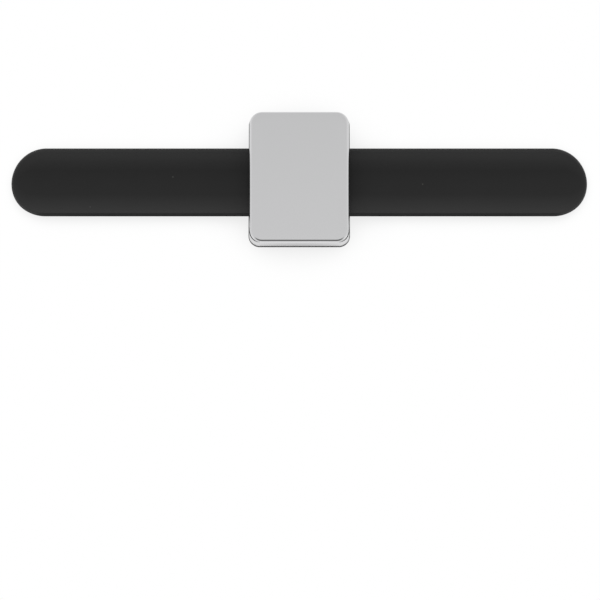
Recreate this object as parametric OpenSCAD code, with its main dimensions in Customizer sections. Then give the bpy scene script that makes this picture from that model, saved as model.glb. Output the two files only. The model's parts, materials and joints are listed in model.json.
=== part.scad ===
// Wrist pin holder: a drawn steel box with magnets inside, carried on a silicone slap band.
// Millimetres, Z up. The band runs along X and lies straight, as it does before it is snapped on.

/* [Band] */
// Length of the band from tip to tip
band_length = 230; // [205:1:260]
// Width of the band
band_width = 28; // [24:0.5:32]
// Thickness of the band
band_thickness = 2.6; // [2.2:0.1:3.4]
// Radius of the cross curve that keeps the band straight
dish_radius = 45; // [35:1:80]
// Slices that each arm bends in, the round end among them
slices_per_arm = 12; // [6:1:13]
// How much longer each slice is than the one before it, towards the tip
slice_ratio = 1.1; // [1.02:0.01:1.15]

/* [Spring strip] */
// Width of the spring strip
spring_width = 21; // [16:0.5:21.5]
// Thickness of the spring strip
spring_thickness = 0.25; // [0.15:0.05:0.4]
// Corner radius at the ends of the spring strip
spring_corner_radius = 5; // [2:0.5:7]
// Rubber between the end of the spring strip and the tip of the band
spring_end_cover = 8; // [5:0.5:11]

/* [Cover] */
// Size of the steel cover along the band, at its lower edge
cover_width = 40.4; // [37.5:0.1:48]
// Size of the steel cover across the band, at its lower edge
cover_length = 54.7; // [48:0.1:66]
// Sheet thickness of the cover
cover_sheet = 0.5; // [0.4:0.05:0.7]
// Plan corner radius of the cover
cover_corner_radius = 4.8; // [4.5:0.1:7]
// Radius of the edge round the cover's top
cover_edge_radius = 1.2; // [0.9:0.1:1.8]
// How far the cover's walls lean in towards the top
cover_draft = 0.35; // [0.1:0.05:0.5]
// Outer radius of the bend that turns the lower edge in under the base
lip_bend_radius = 1.2; // [1:0.1:3]
// How far the lower edge reaches on under the base, past that bend
lip_reach = 0.8; // [0.4:0.1:1]

/* [Base] */
// Floor of the magnet tray
tray_floor = 1.2; // [0.9:0.1:2]
// Wall round the magnet tray
tray_wall = 2; // [1.8:0.1:3]
// Height of that wall above the floor
tray_wall_height = 2.4; // [1:0.1:3]
// Corner radius of the two magnet pockets
pocket_corner_radius = 1; // [0.6:0.1:1.5]
// Rib between the two magnets
divider = 1; // [0.6:0.1:3]
// Wall of the loop under the middle of the band
loop_wall = 1.4; // [1:0.1:2.4]
// Wall of the loop beside the band
loop_side = 1.9; // [1.4:0.1:3]
// Radius of the loop's upright corners
loop_corner_radius = 2.5; // [1:0.1:4]
// Radius of the loop's lower edges
loop_edge_radius = 1.2; // [0.6:0.1:1.3]
// Depth of the wider mouth at each end of the loop
mouth_depth = 1.4; // [0.8:0.1:2]
// How much wider the mouth is than the slot, all round
mouth_flare = 0.4; // [0.2:0.1:0.5]

/* [Magnets] */
// Height of the magnets
magnet_height = 4.6; // [3.5:0.1:6]
// Foam pad under each magnet
pad_thickness = 0.6; // [0.4:0.1:1]

/* [Fits] */
// Gap between the band and the loop
band_gap = 0.15; // [0.1:0.05:0.25]
// Gap between the raised edges of the band and the cover
rim_gap = 0.3; // [0.2:0.05:0.6]
// Gap between the base and the cover's wall
tray_gap = 0.1; // [0.05:0.05:0.3]
// Gap round the magnets in their pockets
magnet_gap = 0.2; // [0.1:0.05:0.4]
// Gap round the spring strip in its pocket
spring_gap = 0.15; // [0.1:0.05:0.2]
// Gap between the band loop and the turned lower edge of the cover
loop_gap = 1.5; // [0.3:0.1:3]
// Free band between the loop and the first bend
bend_clear = 1.8; // [1:0.1:3]

/* [Hidden] */
$fn = 144;

slack = 1;
band_half = band_thickness / 2;
belly_z = loop_wall + band_gap;
dish_z = belly_z + dish_radius + band_half;
edge_reach = band_width / 2 - band_half;
edge_angle = asin(edge_reach / dish_radius);
band_top_z = dish_z - dish_radius * cos(edge_angle) + band_half;

lip_length = lip_bend_radius + lip_reach;
loop_length = cover_width - 2 * (lip_length + loop_gap);
loop_width = band_width + 2 * (band_gap + loop_side);

first_bend = loop_length / 2 + bend_clear;
end_x = band_length / 2 - band_width / 2;
straight_slices = slices_per_arm - 1;
first_slice = (end_x - first_bend) * (slice_ratio - 1) / (pow(slice_ratio, straight_slices) - 1);
spring_half_length = band_length / 2 - spring_end_cover;

rim_z = band_top_z + rim_gap;
tray_z = rim_z + cover_sheet;
pad_z = tray_z + tray_floor;
magnet_z = pad_z + pad_thickness;
cover_top_z = magnet_z + magnet_height + cover_sheet;
tray_inset = cover_sheet + cover_draft + tray_gap;
tray_width = cover_width - 2 * tray_inset;
tray_length = cover_length - 2 * tray_inset;
tray_radius = cover_corner_radius - tray_inset;
pocket_width = tray_width - 2 * tray_wall;
pocket_length = (tray_length - 2 * tray_wall - divider) / 2;
pocket_y = (pocket_length + divider) / 2;
tray_edge_run = lip_bend_radius - tray_inset;
bend_inside = lip_bend_radius - cover_sheet;
tray_edge_rise = bend_inside - sqrt(pow(bend_inside, 2) - pow(tray_edge_run, 2)) + tray_gap;

end_columns = 28;
rim_steps = 5;
face_rows = 5;

arms = ["left", "right"];

// Where slice i of an arm begins, counted from 1; the bend axis lies there, along the belly
function slice_start(i) = first_bend + first_slice * (pow(slice_ratio, i - 1) - 1) / (slice_ratio - 1);

// Plan outline: a rectangle with round corners
module round_rect(width, length, radius) {
    square([width - 2 * radius, length], center = true);
    square([width, length - 2 * radius], center = true);
    for (x = [-1, 1], y = [-1, 1])
        translate([x * (width / 2 - radius), y * (length / 2 - radius)])
            circle(r = radius);
}

// Quarter ring in the upper right quadrant
module quarter_ring(outer, inner) {
    intersection() {
        difference() {
            circle(r = outer);
            circle(r = inner);
        }
        square(outer);
    }
}

// Cross-section of a strip that follows the band's cross curve, cut square at its edges
module dished_strip(thickness, width) {
    half = asin(width / 2 / dish_radius);
    reach = 2 * dish_radius;
    translate([0, dish_z])
        intersection() {
            difference() {
                circle(r = dish_radius + thickness / 2);
                circle(r = dish_radius - thickness / 2);
            }
            polygon([
                [0, 0],
                [-reach * sin(half), -reach * cos(half)],
                [reach * sin(half), -reach * cos(half)]
            ]);
        }
}

// Cross-section of the band: the same curve with round edges
module band_section() {
    dished_strip(band_thickness, 2 * edge_reach);
    for (side = [-1, 1])
        translate([side * edge_reach, dish_z - dish_radius * cos(edge_angle)])
            circle(r = band_half);
}

// Draws a cross-section out along X from one station to another
module along_band(from, to) {
    translate([from, 0, 0])
        rotate([90, 0, 90])
            linear_extrude(height = to - from)
                children();
}

// Carries a profile round a rounded rectangle; the profile's x runs out from the corner centres
module sweep_round(width, length, radius) {
    for (turn = [0 : 3]) {
        across = (turn % 2 == 0 ? width : length) / 2 - radius;
        run = (turn % 2 == 0 ? length : width) / 2 - radius;
        rotate([0, 0, 90 * turn]) {
            translate([across, 0, 0])
                rotate([90, 0, 0])
                    linear_extrude(height = 2 * run, center = true)
                        children();
            translate([across, run, 0])
                rotate_extrude(angle = 90)
                    children();
        }
    }
}

// Wall of the drawn cover: top edge, leaning wall and the lower edge turned in
module cover_profile() {
    top_x = cover_corner_radius - cover_draft - cover_edge_radius;
    top_edge_z = cover_top_z - cover_edge_radius;
    bend_z = rim_z + lip_bend_radius;
    translate([0, cover_top_z - cover_sheet])
        square([top_x, cover_sheet]);
    translate([top_x, top_edge_z])
        quarter_ring(cover_edge_radius, cover_edge_radius - cover_sheet);
    polygon([
        [cover_corner_radius - cover_draft - cover_sheet, top_edge_z],
        [cover_corner_radius - cover_draft, top_edge_z],
        [cover_corner_radius, bend_z],
        [cover_corner_radius - cover_sheet, bend_z]
    ]);
    translate([cover_corner_radius - lip_bend_radius, bend_z])
        mirror([0, 1])
            quarter_ring(lip_bend_radius, lip_bend_radius - cover_sheet);
    translate([cover_corner_radius - lip_length, rim_z])
        square([lip_reach, cover_sheet]);
}

module cover() {
    color("#c3c4c6") {
        sweep_round(cover_width, cover_length, cover_corner_radius)
            cover_profile();
        translate([0, 0, cover_top_z - cover_sheet / 2])
            cube([
                cover_width - 2 * cover_corner_radius,
                cover_length - 2 * cover_corner_radius,
                cover_sheet
            ], center = true);
    }
}

// Moulded base: magnet tray above, a loop for the band below
module base() {
    color("#222223")
        difference() {
            union() {
                tray();
                band_loop();
            }
            for (side = [-1, 1])
                translate([0, side * pocket_y, pad_z])
                    linear_extrude(height = tray_wall_height + slack)
                        round_rect(pocket_width, pocket_length, pocket_corner_radius);
            along_band(-loop_length, loop_length)
                dished_strip(band_thickness + 2 * band_gap, band_width + 2 * band_gap);
            for (side = [-1, 1])
                along_band(
                    side * (loop_length / 2 - mouth_depth / 2 + slack / 2) - (mouth_depth + slack) / 2,
                    side * (loop_length / 2 - mouth_depth / 2 + slack / 2) + (mouth_depth + slack) / 2
                )
                    dished_strip(
                        band_thickness + 2 * (band_gap + mouth_flare),
                        band_width + 2 * (band_gap + mouth_flare)
                    );
        }
}

// Block that the magnet pockets are cut in, its lower edge sloped to clear the cover's bend
module tray() {
    height = tray_floor + tray_wall_height;
    sweep_round(tray_width, tray_length, tray_radius)
        polygon([
            [0, tray_z],
            [tray_radius - tray_edge_run, tray_z],
            [tray_radius, tray_z + tray_edge_rise],
            [tray_radius, tray_z + height],
            [0, tray_z + height]
        ]);
    translate([0, 0, tray_z + height / 2])
        cube([tray_width - 2 * tray_radius, tray_length - 2 * tray_radius, height], center = true);
}

// Solid that the band's slot is cut through, with round corners and lower edges
module band_loop() {
    height = tray_z + tray_floor / 2;
    intersection() {
        linear_extrude(height = height)
            round_rect(loop_length, loop_width, loop_corner_radius);
        along_band(-loop_length, loop_length)
            loop_side_view(loop_width, height);
        rotate([0, 0, 90])
            along_band(-loop_width, loop_width)
                loop_side_view(loop_length, height);
    }
}

// Side view of the loop: square above, round edges below
module loop_side_view(width, height) {
    translate([-width / 2, loop_edge_radius])
        square([width, height - loop_edge_radius + slack]);
    translate([-width / 2 + loop_edge_radius, 0])
        square([width - 2 * loop_edge_radius, height]);
    for (side = [-1, 1])
        translate([side * (width / 2 - loop_edge_radius), loop_edge_radius])
            circle(r = loop_edge_radius);
}

// What fills a magnet pocket from one height to another; side -1 is the front pocket
module pocket_filling(side, from, height) {
    translate([0, side * pocket_y, from])
        linear_extrude(height = height)
            round_rect(
                pocket_width - 2 * magnet_gap,
                pocket_length - 2 * magnet_gap,
                pocket_corner_radius
            );
}

module magnet(side) {
    color("#3b3b3e")
        pocket_filling(side, magnet_z, magnet_height);
}

module pad(side) {
    color("#6a6a66")
        pocket_filling(side, pad_z, pad_thickness);
}

// Space for the spring strip inside the band
module spring_pocket(from, to) {
    gap = 2 * spring_gap;
    intersection() {
        along_band(from, to)
            dished_strip(spring_thickness + gap, spring_width + gap);
        linear_extrude(height = dish_z)
            round_rect(
                2 * spring_half_length + gap,
                spring_width + gap,
                spring_corner_radius + spring_gap
            );
    }
}

module straight_sleeve(from, to) {
    color("#2a2a2b")
        along_band(from, to)
            difference() {
                band_section();
                dished_strip(spring_thickness + 2 * spring_gap, spring_width + 2 * spring_gap);
            }
}

module straight_spring(from, to) {
    color("#8d9399")
        along_band(from, to)
            dished_strip(spring_thickness, spring_width);
}

// Point of the band's end: out by rho from the middle of the round end at a plan angle, then
// off the middle surface by a height along its normal
function end_point(rho, angle, off) =
    let (y = rho * sin(angle), lean = asin(y / dish_radius))
    [
        end_x + rho * cos(angle),
        y - off * sin(lean),
        dish_z - (dish_radius - off) * cos(lean)
    ];

// Half-section of the round end, from the middle of the top round the rim to the middle below
function end_rows() = concat(
    [for (k = [1 : face_rows]) [edge_reach * k / face_rows, band_half]],
    [for (k = [1 : 2 * rim_steps - 1])
        let (turn = 90 - 90 * k / rim_steps)
        [edge_reach + band_half * cos(turn), band_half * sin(turn)]],
    [for (k = [face_rows : -1 : 1]) [edge_reach * k / face_rows, -band_half]]
);

// Round end of the band with a round rim, still following the cross curve
module round_end() {
    rows = end_rows();
    count = len(rows);
    last = count - 1;
    columns = end_columns;
    points = concat(
        [for (c = [0 : columns], row = rows) end_point(row[0], -90 + 180 * c / columns, row[1])],
        [end_point(0, 0, band_half), end_point(0, 0, -band_half)]
    );
    top = len(points) - 2;
    under = len(points) - 1;
    skin = [
        for (c = [0 : columns - 1], r = [0 : last - 1])
            let (a = c * count + r, b = a + count)
            each [[a, a + 1, b + 1], [a, b + 1, b]]
    ];
    poles = [
        for (c = [0 : columns - 1])
            let (a = c * count, b = a + count)
            each [[top, a, b], [under, b + last, a + last]]
    ];
    // the flat cut face: rungs from each top row to the lower row facing it
    cut = [
        for (c = [0, columns], r = [0 : last / 2 - 1])
            let (
                a = c * count + r,
                b = c * count + last - r,
                rung = [[a, b, b - 1], [a, b - 1, a + 1]]
            )
            each (c == 0
                ? (a + 1 == b - 1 ? [rung[0]] : rung)
                : [for (f = (a + 1 == b - 1 ? [rung[0]] : rung)) [f[2], f[1], f[0]]])
    ];
    middle = [
        [top, under, last],
        [top, last, 0],
        [columns * count + last, under, top],
        [columns * count, columns * count + last, top]
    ];
    polyhedron(points = points, faces = concat(skin, poles, cut, middle));
}

module sleeve_slice(i) {
    if (i < slices_per_arm)
        straight_sleeve(slice_start(i), slice_start(i + 1));
    else
        color("#2a2a2b")
            difference() {
                round_end();
                spring_pocket(end_x - slack, band_length / 2);
            }
}

module spring_slice(i) {
    if (i < slices_per_arm)
        straight_spring(slice_start(i), slice_start(i + 1));
    else
        color("#8d9399")
            intersection() {
                along_band(end_x, band_length / 2)
                    dished_strip(spring_thickness, spring_width);
                linear_extrude(height = dish_z)
                    round_rect(2 * spring_half_length, spring_width, spring_corner_radius);
            }
}

cover();
base();
magnet(-1);  // magnet_front
magnet(1);  // magnet_rear
pad(-1);  // pad_front
pad(1);  // pad_rear
straight_sleeve(-first_bend, first_bend);  // sleeve_centre
straight_spring(-first_bend, first_bend);  // spring_centre
for (arm = arms, i = [1 : slices_per_arm]) {
    turn = arm == "left" ? 180 : 0;
    rotate([0, 0, turn]) sleeve_slice(i);
    rotate([0, 0, turn]) spring_slice(i);
}
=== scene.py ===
import json
import math

import bmesh
import bpy
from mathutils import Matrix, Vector


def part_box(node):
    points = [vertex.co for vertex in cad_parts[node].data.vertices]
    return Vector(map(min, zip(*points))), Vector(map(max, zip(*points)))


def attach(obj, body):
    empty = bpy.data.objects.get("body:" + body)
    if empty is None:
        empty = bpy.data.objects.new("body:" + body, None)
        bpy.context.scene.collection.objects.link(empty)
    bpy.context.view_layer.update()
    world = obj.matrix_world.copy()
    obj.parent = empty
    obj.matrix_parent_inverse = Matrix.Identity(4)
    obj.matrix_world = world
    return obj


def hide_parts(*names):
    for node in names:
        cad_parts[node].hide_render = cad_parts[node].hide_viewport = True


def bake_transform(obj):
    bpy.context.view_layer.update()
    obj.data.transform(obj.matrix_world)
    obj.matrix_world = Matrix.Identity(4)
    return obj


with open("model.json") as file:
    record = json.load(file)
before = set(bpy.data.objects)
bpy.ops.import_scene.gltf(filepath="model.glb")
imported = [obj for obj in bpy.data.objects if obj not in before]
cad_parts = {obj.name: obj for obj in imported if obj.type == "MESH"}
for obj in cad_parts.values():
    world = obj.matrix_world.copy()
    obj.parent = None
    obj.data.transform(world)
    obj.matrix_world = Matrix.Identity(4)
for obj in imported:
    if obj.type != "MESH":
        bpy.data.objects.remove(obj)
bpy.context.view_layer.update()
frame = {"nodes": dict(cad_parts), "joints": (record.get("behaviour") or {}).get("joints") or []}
mm = 0.001
tiny = 0.01 * mm  # places closer than this are one place
cutKeeps = 0.001 * mm  # a cut takes a point this close to it instead of making a new one
wallFace = 0.05  # a face whose normal rises less than this is a wall
flatFace = 0.999  # and one whose normal rises more than this lies flat
broadFace = 1000 * mm * mm  # only the band's top and underside are larger
sharpAngle = 40.0  # degrees: edges sharper than this stay sharp


def linear(hexColour):  # sRGB hex to the linear values that shaders take
    parts = [int(hexColour[i:i + 2], 16) / 255 for i in (1, 3, 5)]
    return tuple(c / 12.92 if c <= 0.04045 else ((c + 0.055) / 1.055) ** 2.4 for c in parts) + (1.0,)


def only(piece):  # operators act on this object and nothing else
    bpy.ops.object.select_all(action="DESELECT")
    bpy.context.view_layer.objects.active = piece
    piece.select_set(True)


def choose(piece, kind, test):  # edit mode, with the verts, edges or faces that pass the test selected
    only(piece)
    bpy.ops.object.mode_set(mode="EDIT")
    bpy.ops.mesh.select_mode(type=kind)
    bpy.ops.mesh.select_all(action="DESELECT")
    mesh = bmesh.from_edit_mesh(piece.data)
    mesh.normal_update()
    for item in {"VERT": mesh.verts, "EDGE": mesh.edges, "FACE": mesh.faces}[kind]:
        if test(item):
            item.select_set(True)
    mesh.select_flush_mode()
    bmesh.update_edit_mesh(piece.data)


def closeEdit():
    bpy.ops.object.mode_set(mode="OBJECT")


def everything(item):
    return True


def settle(piece):  # place, turn and size go into the mesh
    only(piece)
    bpy.ops.object.transform_apply(location=True, rotation=True, scale=True)


def applyModifier(piece, kind, **settings):
    only(piece)
    modifier = piece.modifiers.new(kind.lower(), kind)
    for name, value in settings.items():
        setattr(modifier, name, value)
    bpy.ops.object.modifier_apply(modifier=modifier.name)


def smooth(piece):
    only(piece)
    bpy.ops.object.shade_smooth_by_angle(angle=math.radians(sharpAngle))


def cutAcross(piece, axis, places):  # plain cuts, nothing removed
    normal = [0, 0, 0]
    normal[axis] = 1
    for place in places:
        choose(piece, "FACE", everything)
        bpy.ops.mesh.bisect(plane_co=[place * n for n in normal], plane_no=normal, threshold=cutKeeps)
        closeEdit()


# camera: the photo looks down steeply at the band from its long side
cameraSet = {
    "elevation": 75.0,  # degrees above the table, where the band lies
    "distance": 1250 * mm,
    "target": (0.3 * mm, 0, 3 * mm),  # middle of the band
    "mmPerPixel": 0.39986,  # at the band
    "pixelsUp": 116.5,  # how far above the picture's middle the band lies
    "sensor": 36.0,
    "frame": 600,
}


def makeCamera(c):
    tilt = math.radians(c["elevation"])
    target = Vector(c["target"])
    data = bpy.data.cameras.new("camera")
    data.sensor_width = c["sensor"]
    data.lens = c["sensor"] * c["distance"] / (c["frame"] * c["mmPerPixel"] * mm)
    camera = bpy.data.objects.new("camera", data)
    bpy.context.collection.objects.link(camera)
    camera.location = target + c["distance"] * Vector((0, -math.cos(tilt), math.sin(tilt)))
    drop = math.atan(c["pixelsUp"] * c["mmPerPixel"] * mm / c["distance"])
    camera.rotation_euler = (math.pi / 2 - tilt - drop, 0, 0)
    bpy.context.scene.camera = camera


makeCamera(cameraSet)
print("camera placed")


# one node with its settings, its fixed socket values and its links;
# a Mix node's sockets go by number: 0 is the factor, 2 and 3 are plain values, 6 and 7 are colours
def put(tree, kind, values=None, links=None, **settings):
    node = tree.nodes.new(kind)
    for name, value in settings.items():
        setattr(node, name, value)
    for name, value in (values or {}).items():
        node.inputs[name].default_value = value
    for name, source in (links or {}).items():
        tree.links.new(source, node.inputs[name])
    return node


def newMaterial(name):
    material = bpy.data.materials.new(name)
    material.use_nodes = True
    material.node_tree.nodes.clear()
    return material, material.node_tree


# moulded silicone rubber: near black with a soft broad sheen, its colour painted paler towards the rim as a
# painted highlight and painted dark again at the outermost edge as painted shade, with a faint mould texture
# and a little lint
siliconeSet = {
    "colour": "#111111",
    # painted highlight: the rubber's colour turns paler over the rim, standing in for the light its tilted
    # rim catches
    "paintedHighlightColour": "#2b2b2b",
    "paintedHighlightStart": 5 * mm,  # from the middle line of the band
    "paintedHighlightFull": 13 * mm,
    "edge": (13.3 * mm, 13.8 * mm),  # painted shade: the outermost edge is dark again, standing in for its rounding turned from the light
    "spine": 107 * mm,  # where the middle line stops
    "roughness": (0.44, 0.56),
    "ior": 1.41,
    "clouds": 14 * mm,
    "texture": 0.32 * mm,  # finer on a real mould, and drawn as coarse as it needs to show
    "bump": (0.12, 0.05 * mm),  # strength, depth
    "lint": "#3d3d3b",
    "lintSpacing": 31 * mm,
    "lintSize": 0.3 * mm,
}


def makeSilicone(s):
    material, tree = newMaterial("moulded silicone rubber")
    flat = put(tree, "ShaderNodeAttribute", attribute_name="laidFlat").outputs["Vector"]
    clouds = put(tree, "ShaderNodeTexNoise", {"Scale": 1 / s["clouds"], "Detail": 3.0}, {"Vector": flat})
    rough = put(tree, "ShaderNodeMapRange", {"To Min": s["roughness"][0], "To Max": s["roughness"][1]},
                {"Value": clouds.outputs["Fac"]})
    grain = put(tree, "ShaderNodeTexNoise", {"Scale": 1 / s["texture"], "Detail": 2.0}, {"Vector": flat})
    bump = put(tree, "ShaderNodeBump", {"Strength": s["bump"][0], "Distance": s["bump"][1]},
               {"Height": grain.outputs["Fac"]})
    # how far a point is from the middle line, for the painted highlight on the rim and the painted shade at
    # its edge; its height doesn't count
    folded = put(tree, "ShaderNodeVectorMath", links={0: flat}, operation="ABSOLUTE")
    beyond = put(tree, "ShaderNodeVectorMath", {1: (s["spine"], 0, 1)}, {0: folded.outputs[0]},
                 operation="SUBTRACT")
    outward = put(tree, "ShaderNodeVectorMath", {1: (0, 0, 0)}, {0: beyond.outputs[0]}, operation="MAXIMUM")
    away = put(tree, "ShaderNodeVectorMath", links={0: outward.outputs[0]}, operation="LENGTH")
    # painted highlight: paler from where the highlight starts out to where it is full
    rim = put(tree, "ShaderNodeMapRange", {"From Min": s["paintedHighlightStart"], "From Max": s["paintedHighlightFull"]},
              {"Value": away.outputs["Value"]})
    # painted shade: the outermost edge goes dark again
    paintedEdgeShadeMask = put(tree, "ShaderNodeMapRange", {"From Min": s["edge"][1], "From Max": s["edge"][0]},
                  {"Value": away.outputs["Value"]})
    # the painted rim highlight, taken back to dark at the outermost edge as painted shade
    paintedHighlightAndEdgeShade = put(tree, "ShaderNodeMath", links={0: rim.outputs[0], 1: paintedEdgeShadeMask.outputs[0]}, operation="MULTIPLY")
    rubber = put(tree, "ShaderNodeMix", {6: linear(s["colour"]), 7: linear(s["paintedHighlightColour"])},
                 {0: paintedHighlightAndEdgeShade.outputs[0]}, data_type="RGBA")
    dots = put(tree, "ShaderNodeTexVoronoi", {"Scale": 1 / s["lintSpacing"]}, {"Vector": flat},
               voronoi_dimensions="2D")
    speck = put(tree, "ShaderNodeMath", {1: s["lintSize"] / s["lintSpacing"]}, {0: dots.outputs["Distance"]},
                operation="LESS_THAN")
    tint = put(tree, "ShaderNodeMix", {7: linear(s["lint"])}, {0: speck.outputs[0], 6: rubber.outputs[2]},
               data_type="RGBA")
    shader = put(tree, "ShaderNodeBsdfPrincipled", {"IOR": s["ior"]},
                 {"Base Color": tint.outputs[2], "Roughness": rough.outputs[0], "Normal": bump.outputs[0]})
    put(tree, "ShaderNodeOutputMaterial", links={"Surface": shader.outputs[0]})
    return material


# drawn stainless sheet: pale grey polish with a soft satin, faint rolling grain
stainlessSet = {
    "colour": "#d5d5d6",
    "roughness": (0.06, 0.11),
    "clouds": 9 * mm,
    "grain": (0.12 * mm, 6 * mm),  # a rolling line's width and length, drawn as coarse as it needs to show
    "bump": (0.03, 0.01 * mm),  # strength, depth
}


def makeStainless(s):
    material, tree = newMaterial("drawn stainless steel")
    where = put(tree, "ShaderNodeTexCoord").outputs["Object"]
    clouds = put(tree, "ShaderNodeTexNoise", {"Scale": 1 / s["clouds"], "Detail": 4.0}, {"Vector": where})
    rough = put(tree, "ShaderNodeMapRange", {"To Min": s["roughness"][0], "To Max": s["roughness"][1]},
                {"Value": clouds.outputs["Fac"]})
    width, length = s["grain"]
    along = put(tree, "ShaderNodeMapping", {"Scale": (1 / width, 1 / length, 1 / width)}, {"Vector": where})
    lines = put(tree, "ShaderNodeTexNoise", {"Scale": 1.0, "Detail": 2.0}, {"Vector": along.outputs[0]})
    bump = put(tree, "ShaderNodeBump", {"Strength": s["bump"][0], "Distance": s["bump"][1]},
               {"Height": lines.outputs["Fac"]})
    shader = put(tree, "ShaderNodeBsdfPrincipled", {"Base Color": linear(s["colour"]), "Metallic": 1.0},
                 {"Roughness": rough.outputs[0], "Normal": bump.outputs[0]})
    put(tree, "ShaderNodeOutputMaterial", links={"Surface": shader.outputs[0]})
    return material


# moulded ABS: black, with the fine spark-eroded texture of its tool
absSet = {
    "colour": "#1b1b1c",
    "roughness": (0.42, 0.55),
    "ior": 1.53,
    "texture": 0.35 * mm,  # coarser than on a real mould, so that it shows
    "bump": (0.2, 0.05 * mm),  # strength, depth
}


def makeAbs(s):
    material, tree = newMaterial("moulded black ABS")
    where = put(tree, "ShaderNodeTexCoord").outputs["Object"]
    grain = put(tree, "ShaderNodeTexNoise", {"Scale": 1 / s["texture"], "Detail": 3.0}, {"Vector": where})
    rough = put(tree, "ShaderNodeMapRange", {"To Min": s["roughness"][0], "To Max": s["roughness"][1]},
                {"Value": grain.outputs["Fac"]})
    bump = put(tree, "ShaderNodeBump", {"Strength": s["bump"][0], "Distance": s["bump"][1]},
               {"Height": grain.outputs["Fac"]})
    shader = put(tree, "ShaderNodeBsdfPrincipled", {"Base Color": linear(s["colour"]), "IOR": s["ior"]},
                 {"Roughness": rough.outputs[0], "Normal": bump.outputs[0]})
    put(tree, "ShaderNodeOutputMaterial", links={"Surface": shader.outputs[0]})
    return material


# sintered ferrite: charcoal grey, ground faces with a fine grain and small pores
ferriteSet = {
    "colour": "#343436",
    "pores": "#1d1d1f",
    "poreRange": (0.55, 0.7),  # how high in the grain the pores start, and are full
    "roughness": (0.5, 0.7),
    "ior": 2.2,
    "grain": 0.5 * mm,  # far finer in real ferrite, and drawn as coarse as it needs to show
    "bump": (0.3, 0.05 * mm),  # strength, depth
}


def makeFerrite(s):
    material, tree = newMaterial("sintered ferrite")
    where = put(tree, "ShaderNodeTexCoord").outputs["Object"]
    grain = put(tree, "ShaderNodeTexNoise", {"Scale": 1 / s["grain"], "Detail": 4.0}, {"Vector": where})
    pores = put(tree, "ShaderNodeMapRange", {"From Min": s["poreRange"][0], "From Max": s["poreRange"][1]},
                {"Value": grain.outputs["Fac"]})
    tint = put(tree, "ShaderNodeMix", {6: linear(s["colour"]), 7: linear(s["pores"])}, {0: pores.outputs[0]},
               data_type="RGBA")
    rough = put(tree, "ShaderNodeMapRange", {"To Min": s["roughness"][0], "To Max": s["roughness"][1]},
                {"Value": grain.outputs["Fac"]})
    bump = put(tree, "ShaderNodeBump", {"Strength": s["bump"][0], "Distance": s["bump"][1]},
               {"Height": grain.outputs["Fac"]})
    shader = put(tree, "ShaderNodeBsdfPrincipled", {"IOR": s["ior"]},
                 {"Base Color": tint.outputs[2], "Roughness": rough.outputs[0], "Normal": bump.outputs[0]})
    put(tree, "ShaderNodeOutputMaterial", links={"Surface": shader.outputs[0]})
    return material


# closed-cell foam tape: matt dark grey, small burst cells on its cut faces
foamSet = {
    "colour": "#3a3a3c",
    "cells": "#202022",
    "roughness": 0.9,
    "ior": 1.45,
    "cell": 0.45 * mm,
    "bump": (0.5, 0.15 * mm),  # strength, depth
}


def makeFoam(s):
    material, tree = newMaterial("closed-cell foam tape")
    where = put(tree, "ShaderNodeTexCoord").outputs["Object"]
    cells = put(tree, "ShaderNodeTexVoronoi", {"Scale": 1 / s["cell"]}, {"Vector": where})
    tint = put(tree, "ShaderNodeMix", {6: linear(s["cells"]), 7: linear(s["colour"])},
               {0: cells.outputs["Distance"]}, data_type="RGBA")
    bump = put(tree, "ShaderNodeBump", {"Strength": s["bump"][0], "Distance": s["bump"][1]},
               {"Height": cells.outputs["Distance"]})
    shader = put(tree, "ShaderNodeBsdfPrincipled", {"Roughness": s["roughness"], "IOR": s["ior"]},
                 {"Base Color": tint.outputs[2], "Normal": bump.outputs[0]})
    put(tree, "ShaderNodeOutputMaterial", links={"Surface": shader.outputs[0]})
    return material


# cold-rolled spring steel: bluish grey, fine rolling lines along the strip
springSet = {
    "colour": "#9a9da1",
    "roughness": (0.22, 0.38),
    "lines": (8 * mm, 0.15 * mm),  # a rolling line's length and width, drawn as coarse as it needs to show
    "bump": (0.1, 0.02 * mm),  # strength, depth
}


def makeSpringSteel(s):
    material, tree = newMaterial("cold-rolled spring steel")
    where = put(tree, "ShaderNodeTexCoord").outputs["Object"]
    length, width = s["lines"]
    along = put(tree, "ShaderNodeMapping", {"Scale": (1 / length, 1 / width, 1 / width)}, {"Vector": where})
    lines = put(tree, "ShaderNodeTexNoise", {"Scale": 1.0, "Detail": 3.0}, {"Vector": along.outputs[0]})
    rough = put(tree, "ShaderNodeMapRange", {"To Min": s["roughness"][0], "To Max": s["roughness"][1]},
                {"Value": lines.outputs["Fac"]})
    bump = put(tree, "ShaderNodeBump", {"Strength": s["bump"][0], "Distance": s["bump"][1]},
               {"Height": lines.outputs["Fac"]})
    shader = put(tree, "ShaderNodeBsdfPrincipled", {"Base Color": linear(s["colour"]), "Metallic": 1.0},
                 {"Roughness": rough.outputs[0], "Normal": bump.outputs[0]})
    put(tree, "ShaderNodeOutputMaterial", links={"Surface": shader.outputs[0]})
    return material


siliconeRubber = makeSilicone(siliconeSet)
stainlessSteel = makeStainless(stainlessSet)
blackAbs = makeAbs(absSet)
ferrite = makeFerrite(ferriteSet)
foamTape = makeFoam(foamSet)
springSteel = makeSpringSteel(springSet)
print("materials made")


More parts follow.
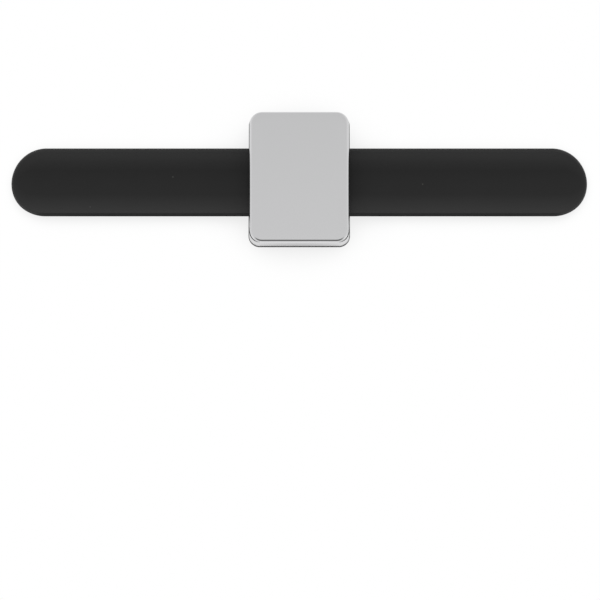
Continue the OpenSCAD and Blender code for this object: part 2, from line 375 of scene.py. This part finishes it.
# silicone band: modelled flat, dished across, then cut where it bends
bandSet = {
    "endRadius": 13.9 * mm,
    "endCentre": 101 * mm,
    "flatWiden": 14.174 / 14,  # half the width laid flat, over half the dished width
    "dishRadius": 45 * mm,
    "low": -1.2 * mm,  # rim faces, from the middle of the thickness
    "high": 1.1 * mm,
    "swellTop": 0.2 * mm,  # the strip inside lifts the middle
    "swellUnder": 0.1 * mm,
    "rim": 1.06 * mm,
    "rimSteps": 6,
    "outlinePoints": 96,
    "partingLine": 0.1 * mm,
    "margins": (0.8 * mm, 2.6 * mm),  # level border, then the slope up to the swell
    "acrossStep": 1.7 * mm,
    "stepsPerBend": 8,
    "bendReach": 0.8,  # a bend starts and ends this many lengths outside its own, for one even arc
    "seamRing": 0.06 * mm,  # close rings beside a seam keep its shading even
    # a length runs on as a tongue under the next one: how far, and how much lower
    "tongue": ((0.75 * mm, 0.006 * mm), (1.2 * mm, 0.034 * mm)),
    "middle": 2.85 * mm,  # the middle of the thickness over the table
}


# from the plate outwards: where the lengths of one arm end, and where each of its bends starts and ends
def bendPlan(b, arm):
    joints = [joint for joint in frame["joints"] if joint["child"].startswith(arm)]
    bent = sorted((abs(joint["pos_m"][0]), joint["range_deg"][1]) for joint in joints)
    seams = [x + (y - x) * v / (u + v) for (x, u), (y, v) in zip(bent, bent[1:])]
    stops = [2 * bent[0][0] - seams[0]] + seams + [2 * bent[-1][0] - seams[-1]]
    reach = [b["bendReach"] * (far - near) for near, far in zip(stops, stops[1:])]
    bends = [(near - r, far + r) for near, far, r in zip(stops, stops[1:], reach)]
    return [bends[0][0]] + stops[1:], bends


arms = {"left": -1, "right": 1}
plans = {arm: bendPlan(bandSet, arm) for arm in arms}


def flatBand(b):
    middle = (b["high"] + b["low"]) / 2
    bpy.ops.object.select_all(action="DESELECT")
    bpy.ops.mesh.primitive_cylinder_add(vertices=b["outlinePoints"], radius=b["endRadius"],
                                        depth=b["high"] - b["low"], location=(0, 0, middle),
                                        rotation=(0, 0, math.pi / b["outlinePoints"]))
    band = bpy.context.object
    settle(band)
    for side in (-1, 1):  # half of the round goes to each end
        choose(band, "VERT", lambda v: v.co.x * side > 0)
        bpy.ops.transform.translate(value=(side * b["endCentre"], 0, 0))
        closeEdit()
    choose(band, "EDGE", lambda e: abs(e.verts[0].co.z - e.verts[1].co.z) < tiny)
    bpy.ops.mesh.bevel(offset=b["rim"], segments=b["rimSteps"], affect="EDGES", clamp_overlap=False)
    closeEdit()
    choose(band, "FACE", lambda f: abs(f.normal.z) < wallFace
           and abs(f.calc_center_median().z - middle) < tiny)
    bpy.ops.mesh.extrude_region_shrink_fatten(TRANSFORM_OT_shrink_fatten={"value": b["partingLine"]})
    closeEdit()
    for up, swell in ((1, b["swellTop"]), (-1, b["swellUnder"])):
        choose(band, "FACE", lambda f: f.normal.z * up > flatFace and f.calc_area() > broadFace)
        bpy.ops.mesh.inset(thickness=b["margins"][0], depth=0)
        bpy.ops.mesh.inset(thickness=b["margins"][1], depth=swell)
        closeEdit()
    return band


def makeBand(b):
    band = flatBand(b)
    for arm, side in arms.items():
        stops = plans[arm][0]
        along = [x + way * b["seamRing"] for x in stops for way in (-1, 0, 1)]
        along += [x + b["tongue"][0][0] for x in stops]
        for near, far in zip(stops, stops[1:]):
            along += [near + (far - near) * k / b["stepsPerBend"] for k in range(1, b["stepsPerBend"])]
        cutAcross(band, 0, [side * x for x in along])
    half = int(b["endRadius"] / b["acrossStep"])
    cutAcross(band, 1, [k * b["acrossStep"] for k in range(-half, half + 1)])
    choose(band, "VERT", everything)
    bpy.ops.transform.resize(value=(1, b["flatWiden"], 1))
    closeEdit()
    laidFlat = band.data.attributes.new("laidFlat", "FLOAT_VECTOR", "POINT")  # the pattern stays on the band
    laidFlat.data.foreach_set("vector", [x for v in band.data.vertices for x in v.co])
    bpy.ops.object.empty_add(rotation=(math.pi / 2, 0, math.pi / 2))
    dishAxis = bpy.context.object
    width = band.dimensions.y
    applyModifier(band, "SIMPLE_DEFORM", deform_method="BEND", deform_axis="Z", origin=dishAxis,
                  angle=width / b["dishRadius"])
    bpy.data.objects.remove(dishAxis)
    choose(band, "VERT", everything)
    bpy.ops.transform.translate(value=(0, 0, b["middle"]))
    closeEdit()
    return band


def cutPiece(band, name, low, high):  # a closed length of the band
    only(band)
    bpy.ops.object.duplicate()
    piece = bpy.context.object
    piece.name = name
    for place, outward in ((low, -1), (high, 1)):
        if place is not None:
            choose(piece, "FACE", everything)
            bpy.ops.mesh.bisect(plane_co=(place, 0, 0), plane_no=(outward, 0, 0), use_fill=True,
                                clear_outer=True, threshold=cutKeeps)
            closeEdit()
    piece.data.materials.append(siliconeRubber)
    return piece


def placeBand(b):
    band = makeBand(b)
    centre = cutPiece(band, "band_centre", -plans["left"][0][0], plans["right"][0][0])
    smooth(centre)
    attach(centre, "plate")
    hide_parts("sleeve_centre")
    for arm, side in arms.items():
        stops, bends = plans[arm]
        for k, (start, end) in enumerate(bends, 1):
            last = k == len(bends)
            ends = sorted((side * stops[k - 1], side * (stops[k] + b["tongue"][-1][0])))
            if last:
                ends[side > 0] = None
            piece = cutPiece(band, "band_%s_%d" % (arm, k), *ends)
            if not last:  # the tongue closes the seam when it curls
                before = 0
                for run, drop in b["tongue"]:
                    choose(piece, "VERT", lambda v: v.co.x * side > stops[k] + run - b["seamRing"] / 2)
                    bpy.ops.transform.shrink_fatten(value=-drop, use_proportional_edit=True,
                                                    proportional_edit_falloff="LINEAR",
                                                    proportional_size=run - before)
                    closeEdit()
                    before = run
            smooth(piece)
            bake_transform(piece)
            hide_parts("sleeve_%s_%d" % (arm, k))
    bpy.data.objects.remove(band)


placeBand(bandSet)
print("band made and cut at", sum(len(plan[1]) for plan in plans.values()), "bends")


# steel cover: a drawn box lid, its lower edge turned in under the tray
coverSet = {
    "cornerRadius": 4.4 * mm,  # at the lower edge
    "topCornerRadius": 5.2 * mm,
    "cornerSteps": 16,
    "draft": 0.5 * mm,
    "edgeRadius": 1.2 * mm,
    "edgeSteps": 10,
    "lipBend": 1.2 * mm,
    "lipSteps": 8,
    "lipReach": 0.8 * mm,
    "sheet": 0.5 * mm,
    "crown": ((1.2 * mm, 0.012 * mm), (1.8 * mm, 0.012 * mm)),  # steps inwards, and how much each rises
}


def makeCover(c):
    low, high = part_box("cover")
    size = high - low
    bpy.ops.object.select_all(action="DESELECT")
    bpy.ops.mesh.primitive_cube_add(size=1, location=(low + high) / 2, scale=size)
    cover = bpy.context.object
    cover.name = "steel_cover"
    settle(cover)
    choose(cover, "EDGE", lambda e: abs(e.verts[0].co.z - e.verts[1].co.z) > tiny)
    bpy.ops.mesh.bevel(offset=c["cornerRadius"], segments=c["cornerSteps"], affect="EDGES")
    closeEdit()
    near = c["cornerRadius"] + tiny
    grow = c["topCornerRadius"] / c["cornerRadius"]
    for corner in [(x, y, high.z) for x in (low.x, high.x) for y in (low.y, high.y)]:  # rounder at the top
        choose(cover, "VERT", lambda v: max(abs(a - b) for a, b in zip(v.co, corner)) < near
               and v.co.z > high.z - tiny)
        bpy.ops.transform.resize(value=(grow, grow, 1), center_override=corner)
        closeEdit()
    choose(cover, "VERT", lambda v: v.co.z > high.z - tiny)
    bpy.ops.transform.resize(value=(1 - 2 * c["draft"] / size.x, 1 - 2 * c["draft"] / size.y, 1),
                             center_override=(0, 0, high.z))
    closeEdit()
    edges = ((high.z, c["edgeRadius"], c["edgeSteps"]), (low.z, c["lipBend"], c["lipSteps"]))
    for level, radius, steps in edges:
        choose(cover, "EDGE", lambda e: all(abs(v.co.z - level) < tiny for v in e.verts))
        bpy.ops.mesh.bevel(offset=radius, segments=steps, affect="EDGES")
        closeEdit()
    choose(cover, "FACE", lambda f: f.normal.z < -flatFace)
    bpy.ops.mesh.inset(thickness=c["lipReach"])
    bpy.ops.mesh.delete(type="FACE")
    closeEdit()
    choose(cover, "FACE", lambda f: f.normal.z > flatFace)
    for step, rise in c["crown"]:
        bpy.ops.mesh.inset(thickness=step, depth=rise)
    closeEdit()
    applyModifier(cover, "SOLIDIFY", thickness=c["sheet"], offset=-1, use_even_offset=True)
    cover.data.materials.append(stainlessSteel)
    smooth(cover)
    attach(cover, "plate")
    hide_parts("cover")


makeCover(coverSet)
print("cover made")


def finishNodes(material, *names):  # CAD solids that stay get a better finish
    for name in names:
        for slot in frame["nodes"][name].material_slots:
            slot.material = material


finishNodes(blackAbs, "base")
finishNodes(ferrite, "magnet_front", "magnet_rear")
finishNodes(foamTape, "pad_front", "pad_rear")
finishNodes(springSteel, *[name for name in frame["nodes"] if name.startswith("spring_")])
print("solids finished")


# studio: a white sky, greyer overhead, with a dark flag on the camera's side, and three low softboxes;
# the clear floor shows the white below it and takes only the soft shadow;
# three cards lie on the floor, and only reflections show them: a grey one under the box, for the dark line
# round the foot of the steel, and a dark one on each side, for the thin arcs at its front corners
studioSet = {
    "footCard": (2.6 * mm, 3.0 * mm, 1.0 * mm),  # past the box's sides, front and back
    "footTone": "#747474",
    "sideCard": ((26 * mm, 95 * mm), (-75 * mm, -16 * mm)),  # to the side and to the back of the box's middle
    "sideTone": "#1c1c1c",
    "cardCorner": 5.5 * mm,
    "cardSteps": 12,
    "floorSize": 3.0,  # metres, as are the softboxes' sizes and places
    "floorDrop": 0.05 * mm,
    "shadowReach": 22 * mm,
    "shadowSamples": 16,
    "shadowRange": (0.25, 0.92),  # openness at which the floor is black, and white again
    "shadowSeen": 0.18,  # how much of the shadow the camera sees
    "shadowZone": (22 * mm, 29 * mm),  # steel mirrors the full shadow only beside the box
    "white": 1.0,  # what the camera sees round the object
    "skyTone": (0.845, 0.785, 0.93),  # overhead, at the back, at the sides
    "skyBack": (0.235, 0.29),  # how far back the sky darkens, in parts of its radius
    "skySide": (0.3, 0.9),  # and how far to the side it brightens
    "horizon": (-0.02, 0.05),  # white below, all sky above
    "flagElevation": 64.0,
    "flagSpread": (20.0, 32.0),  # degrees from its middle: fully dark, gone
    "flagTone": 0.2,
    "boxAway": 0.8,
    "boxSize": (0.4, 0.36),
    "boxElevation": 13.0,
    "boxes": ((-63.0, 0.17), (0.0, 0.2), (63.0, 0.2)),  # degrees to the right of the front, added light
}


def makeFloor(s):
    bpy.ops.object.select_all(action="DESELECT")
    bpy.ops.mesh.primitive_plane_add(size=s["floorSize"], location=(0, 0, -s["floorDrop"]))
    floor = bpy.context.object
    floor.name = "floor"
    material, tree = newMaterial("clear floor")
    near = put(tree, "ShaderNodeAmbientOcclusion", {"Distance": s["shadowReach"]}, samples=s["shadowSamples"])
    black, clear = s["shadowRange"]
    shade = put(tree, "ShaderNodeMapRange", {"From Min": black, "From Max": clear},
                {"Value": near.outputs["AO"]}, interpolation_type="SMOOTHSTEP")
    faint = put(tree, "ShaderNodeMapRange", {"To Min": s["white"] - s["shadowSeen"]},
                {"Value": shade.outputs[0]})
    where = put(tree, "ShaderNodeTexCoord").outputs["Object"]
    folded = put(tree, "ShaderNodeVectorMath", links={0: where}, operation="ABSOLUTE")
    sideways = put(tree, "ShaderNodeSeparateXYZ", links={"Vector": folded.outputs[0]})
    zone = put(tree, "ShaderNodeMapRange", {"From Min": s["shadowZone"][1], "From Max": s["shadowZone"][0]},
               {"Value": sideways.outputs["X"]}, interpolation_type="SMOOTHSTEP")
    deep = put(tree, "ShaderNodeMix", {2: s["white"]}, {0: zone.outputs[0], 3: shade.outputs[0]})
    ray = put(tree, "ShaderNodeLightPath")
    seen = put(tree, "ShaderNodeMix", links={0: ray.outputs["Is Camera Ray"], 2: deep.outputs[0],
                                             3: faint.outputs[0]})
    under = put(tree, "ShaderNodeNewGeometry")  # from below the floor is quite clear
    tint = put(tree, "ShaderNodeMix", {3: s["white"]}, {0: under.outputs["Backfacing"], 2: seen.outputs[0]})
    shader = put(tree, "ShaderNodeBsdfTransparent", links={"Color": tint.outputs[0]})
    put(tree, "ShaderNodeOutputMaterial", links={"Surface": shader.outputs[0]})
    floor.data.materials.append(material)


def makeCard(s, name, low, high, tone):
    bpy.ops.object.select_all(action="DESELECT")
    middle = [(a + b) / 2 for a, b in zip(low, high)]
    bpy.ops.mesh.primitive_plane_add(size=1, location=(*middle, -s["floorDrop"] / 2))
    card = bpy.context.object
    card.name = name
    card.scale = (high[0] - low[0], high[1] - low[1], 1)
    settle(card)
    choose(card, "VERT", everything)
    bpy.ops.mesh.bevel(offset=s["cardCorner"], segments=s["cardSteps"], affect="VERTICES")
    closeEdit()
    material, tree = newMaterial("matt card")
    shader = put(tree, "ShaderNodeBsdfDiffuse", {"Color": linear(tone)})
    put(tree, "ShaderNodeOutputMaterial", links={"Surface": shader.outputs[0]})
    card.data.materials.append(material)
    card.visible_camera = card.visible_diffuse = card.visible_shadow = False  # only mirrored


def makeCards(s):
    low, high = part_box("cover")
    sides, front, back = s["footCard"]
    makeCard(s, "foot_card", (low.x - sides, low.y - front), (high.x + sides, high.y + back), s["footTone"])
    (near, far), (front, back) = s["sideCard"]
    makeCard(s, "left_card", (-far, front), (-near, back), s["sideTone"])
    makeCard(s, "right_card", (near, front), (far, back), s["sideTone"])


def makeSoftboxes(s):
    low = math.radians(s["boxElevation"])
    for turn, brightness in s["boxes"]:
        side = math.radians(turn)
        across = math.cos(low)
        away = s["boxAway"] * Vector((math.sin(side) * across, -math.cos(side) * across, math.sin(low)))
        bpy.ops.object.light_add(type="AREA", location=away, rotation=away.to_track_quat("Z", "Y").to_euler())
        softbox = bpy.context.object
        softbox.visible_camera = False
        softbox.data.shape = "RECTANGLE"
        softbox.data.size, softbox.data.size_y = s["boxSize"]
        # a lamp's energy, spread over four times its area, is its brightness
        softbox.data.energy = brightness * 4 * s["boxSize"][0] * s["boxSize"][1]


def makeSky(s):
    world = bpy.data.worlds.new("white sky")
    world.use_nodes = True
    tree = world.node_tree
    tree.nodes.clear()
    aim = math.radians(s["flagElevation"])
    dark, gone = [math.cos(math.radians(a)) for a in s["flagSpread"]]
    where = put(tree, "ShaderNodeTexCoord").outputs["Generated"]
    folded = put(tree, "ShaderNodeVectorMath", links={0: where}, operation="ABSOLUTE")
    sideways = put(tree, "ShaderNodeSeparateXYZ", links={"Vector": folded.outputs[0]})
    place = put(tree, "ShaderNodeSeparateXYZ", links={"Vector": where})
    overhead = put(tree, "ShaderNodeMapRange", {"From Min": s["skyBack"][0], "From Max": s["skyBack"][1],
                                                "To Min": s["skyTone"][0], "To Max": s["skyTone"][1]},
                   {"Value": place.outputs["Y"]})
    dome = put(tree, "ShaderNodeMapRange", {"From Min": s["skySide"][0], "From Max": s["skySide"][1],
                                            "To Max": s["skyTone"][2]},
               {"Value": sideways.outputs["X"], "To Min": overhead.outputs[0]})
    above = put(tree, "ShaderNodeMapRange", {"From Min": s["horizon"][0], "From Max": s["horizon"][1]},
                {"Value": place.outputs["Z"]})
    sky = put(tree, "ShaderNodeMix", {2: s["white"]}, {0: above.outputs[0], 3: dome.outputs[0]})
    facing = put(tree, "ShaderNodeVectorMath", {1: (0, -math.cos(aim), math.sin(aim))}, {0: where},
                 operation="DOT_PRODUCT")
    flag = put(tree, "ShaderNodeMapRange", {"From Min": gone, "From Max": dark},
               {"Value": facing.outputs["Value"]}, interpolation_type="SMOOTHSTEP")
    flagged = put(tree, "ShaderNodeMix", {3: s["flagTone"]}, {0: flag.outputs[0], 2: sky.outputs[0]})
    ray = put(tree, "ShaderNodeLightPath")
    seen = put(tree, "ShaderNodeMix", {3: s["white"]},
               {0: ray.outputs["Is Camera Ray"], 2: flagged.outputs[0]})
    shader = put(tree, "ShaderNodeBackground", {"Strength": 1.0}, {"Color": seen.outputs[0]})
    put(tree, "ShaderNodeOutputWorld", links={"Surface": shader.outputs[0]})
    bpy.context.scene.world = world
    bpy.context.scene.view_settings.view_transform = "Standard"


makeFloor(studioSet)
makeCards(studioSet)
makeSoftboxes(studioSet)
makeSky(studioSet)
print("studio lit")
